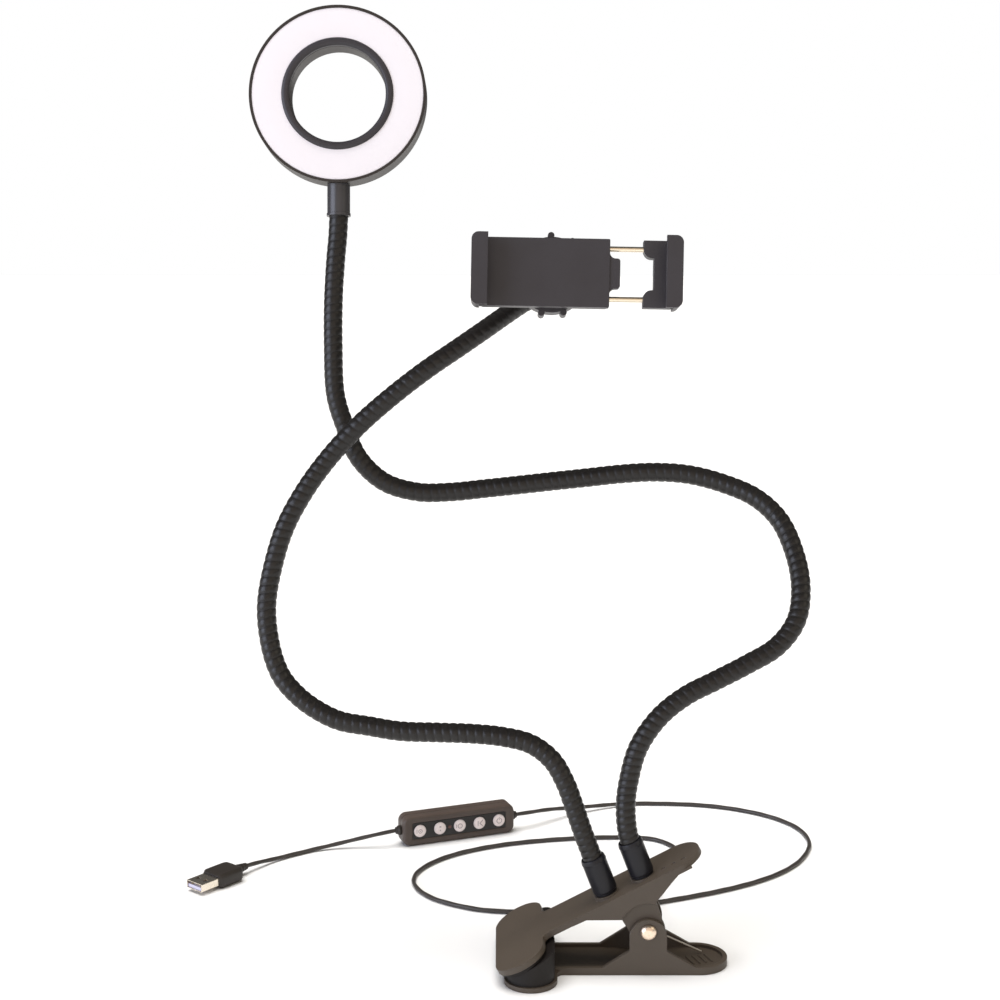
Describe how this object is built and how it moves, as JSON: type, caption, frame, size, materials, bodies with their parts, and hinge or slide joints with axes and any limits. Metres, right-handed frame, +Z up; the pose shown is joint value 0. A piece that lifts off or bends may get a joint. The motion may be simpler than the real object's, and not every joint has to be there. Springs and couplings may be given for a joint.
{
  "type": "clip-on ring light with phone holder",
  "caption": "Round LED ring light and a spring phone holder on two flexible goosenecks rising from one desk clamp, with an in-line remote and a USB plug.",
  "frame": {"origin": "front tip of the plane where the two clamp jaws meet, at mid width", "axes": "+Z up, +X from the jaws towards the clamp's handles, ring and phone holder face -Y"},
  "size_m": [0.3474, 0.2564, 0.4633],
  "materials": {
    "black_plastic": "satin",
    "diffuser": "frosted",
    "circuit_board": "solder mask",
    "led": "clear",
    "screw_steel": "zinc plated",
    "gooseneck": "satin",
    "sleeve": "black anodised, satin",
    "bright_metal": "champagne nickel",
    "rubber_pad": "matt",
    "lever_plastic": "satin",
    "spring_wire": "bright",
    "remote_plastic": "satin",
    "panel": "gloss",
    "button": "pearl",
    "indicator": "tinted",
    "cord": "satin",
    "contacts": "gold plated",
    "tongue": "satin"
  },
  "bodies": {
    "clamp": {"upper_lever": "lever_plastic", "upper_pad": "rubber_pad", "pivot_rivet": "bright_metal", "torsion_spring": "spring_wire", "cord_gland": "rubber_pad", "lamp_lead": "cord", "light_sleeve": "sleeve", "light_nut": "screw_steel", "light_neck_root": "gooseneck", "phone_sleeve": "sleeve", "phone_nut": "screw_steel", "phone_neck_root": "gooseneck", "remote_front": "remote_plastic", "remote_back": "remote_plastic", "remote_panel": "panel", "remote_board": "circuit_board", "indicator": "indicator", "remote_grommets": "rubber_pad", "remote_screws": "screw_steel", "usb_overmould": "black_plastic", "usb_shell": "bright_metal", "usb_tongue": "tongue", "usb_contacts": "contacts", "cord_lamp": "cord", "cord_plug": "cord"},
    "lower_jaw": {"lower_lever": "lever_plastic", "lower_pad": "rubber_pad", "spring_leg": "spring_wire"},
    "light_lower": {"light_neck_lower": "gooseneck"},
    "light_middle": {"light_neck_middle": "gooseneck"},
    "light_upper": {"light_neck_upper": "gooseneck"},
    "ring_head": {"light_neck_head": "gooseneck", "ring_sleeve": "sleeve", "ring_housing": "black_plastic", "ring_bezel": "black_plastic", "diffuser": "diffuser", "led_board": "circuit_board", "led_chips": "led", "ring_screws": "screw_steel"},
    "phone_lower": {"phone_neck_lower": "gooseneck"},
    "phone_upper": {"phone_neck_upper": "gooseneck", "ball_sleeve": "sleeve", "ball_stud": "sleeve"},
    "bush": {"ball_bush": "lever_plastic"},
    "holder": {"holder_body": "black_plastic", "holder_back": "black_plastic", "holder_screws": "screw_steel", "fixed_pad": "rubber_pad"},
    "clamp_nut": {"lock_nut": "black_plastic"},
    "moving_jaw": {"sliding_jaw": "black_plastic", "guide_rods": "bright_metal", "sliding_pad": "rubber_pad"},
    "key_1": {"button_1": "button"},
    "key_2": {"button_2": "button"},
    "key_3": {"button_3": "button"},
    "key_4": {"button_4": "button"},
    "key_5": {"button_5": "button"}
  },
  "joints": [
    {"name": "clamp_open", "type": "hinge", "parent": "clamp", "child": "lower_jaw", "pos_m": [0.0709, 0, 0.0179], "axis": [0, -1, 0], "range_deg": [0, 45], "stiffness_Nm_per_rad": 0.6, "springref_deg": -63.03},
    {"name": "light_base_lean", "type": "hinge", "parent": "clamp", "child": "light_lower", "pos_m": [0.0616, 0.002, 0.087], "axis": [1, 0, 0], "range_deg": [-25, 4]},
    {"name": "light_mid_bend", "type": "hinge", "parent": "light_lower", "child": "light_middle", "pos_m": [0.147, 0.034, 0.176], "axis": [0, 1, 0], "range_deg": [-15, 18]},
    {"name": "light_top_bend", "type": "hinge", "parent": "light_middle", "child": "light_upper", "pos_m": [-0.079, 0.084, 0.248], "axis": [0, 1, 0], "range_deg": [-25, 25]},
    {"name": "ring_tilt", "type": "hinge", "parent": "light_upper", "child": "ring_head", "pos_m": [-0.084, 0.101, 0.331], "axis": [1, 0, 0], "range_deg": [-35, 35]},
    {"name": "phone_base_lean", "type": "hinge", "parent": "clamp", "child": "phone_lower", "pos_m": [0.0354, 0, 0.076], "axis": [1, 0, 0], "range_deg": [-4, 25]},
    {"name": "phone_mid_bend", "type": "hinge", "parent": "phone_lower", "child": "phone_upper", "pos_m": [-0.115, 0.039, 0.165], "axis": [0, 1, 0], "range_deg": [-30, 10]},
    {"name": "holder_tilt", "type": "hinge", "parent": "phone_upper", "child": "bush", "pos_m": [0.0249, 0.05394, 0.32525], "axis": [1, 0, 0], "range_deg": [-30, 16]},
    {"name": "holder_turn", "type": "hinge", "parent": "bush", "child": "holder", "pos_m": [0.0249, 0.05394, 0.32525], "axis": [0, 0.9848, -0.1736], "range_deg": [-90, 90]},
    {"name": "lock_nut_turn", "type": "hinge", "parent": "holder", "child": "clamp_nut", "pos_m": [0.0249, 0.05394, 0.32525], "axis": [0, 0.9848, -0.1736], "range_deg": [0, 90]},
    {"name": "jaw_slide", "type": "slide", "parent": "holder", "child": "moving_jaw", "axis": [0.9998, -0.0033, -0.0189], "range_m": [-0.0158, 0]},
    {"name": "button_1_press", "type": "slide", "parent": "clamp", "child": "key_1", "axis": [-0.3584, 0.9336, 0], "range_m": [0, 0.0006], "stiffness_N_per_m": 400, "springref_m": -0.0006},
    {"name": "button_2_press", "type": "slide", "parent": "clamp", "child": "key_2", "axis": [-0.3584, 0.9336, 0], "range_m": [0, 0.0006], "stiffness_N_per_m": 400, "springref_m": -0.0006},
    {"name": "button_3_press", "type": "slide", "parent": "clamp", "child": "key_3", "axis": [-0.3584, 0.9336, 0], "range_m": [0, 0.0006], "stiffness_N_per_m": 400, "springref_m": -0.0006},
    {"name": "button_4_press", "type": "slide", "parent": "clamp", "child": "key_4", "axis": [-0.3584, 0.9336, 0], "range_m": [0, 0.0006], "stiffness_N_per_m": 400, "springref_m": -0.0006},
    {"name": "button_5_press", "type": "slide", "parent": "clamp", "child": "key_5", "axis": [-0.3584, 0.9336, 0], "range_m": [0, 0.0006], "stiffness_N_per_m": 400, "springref_m": -0.0006}
  ]
}
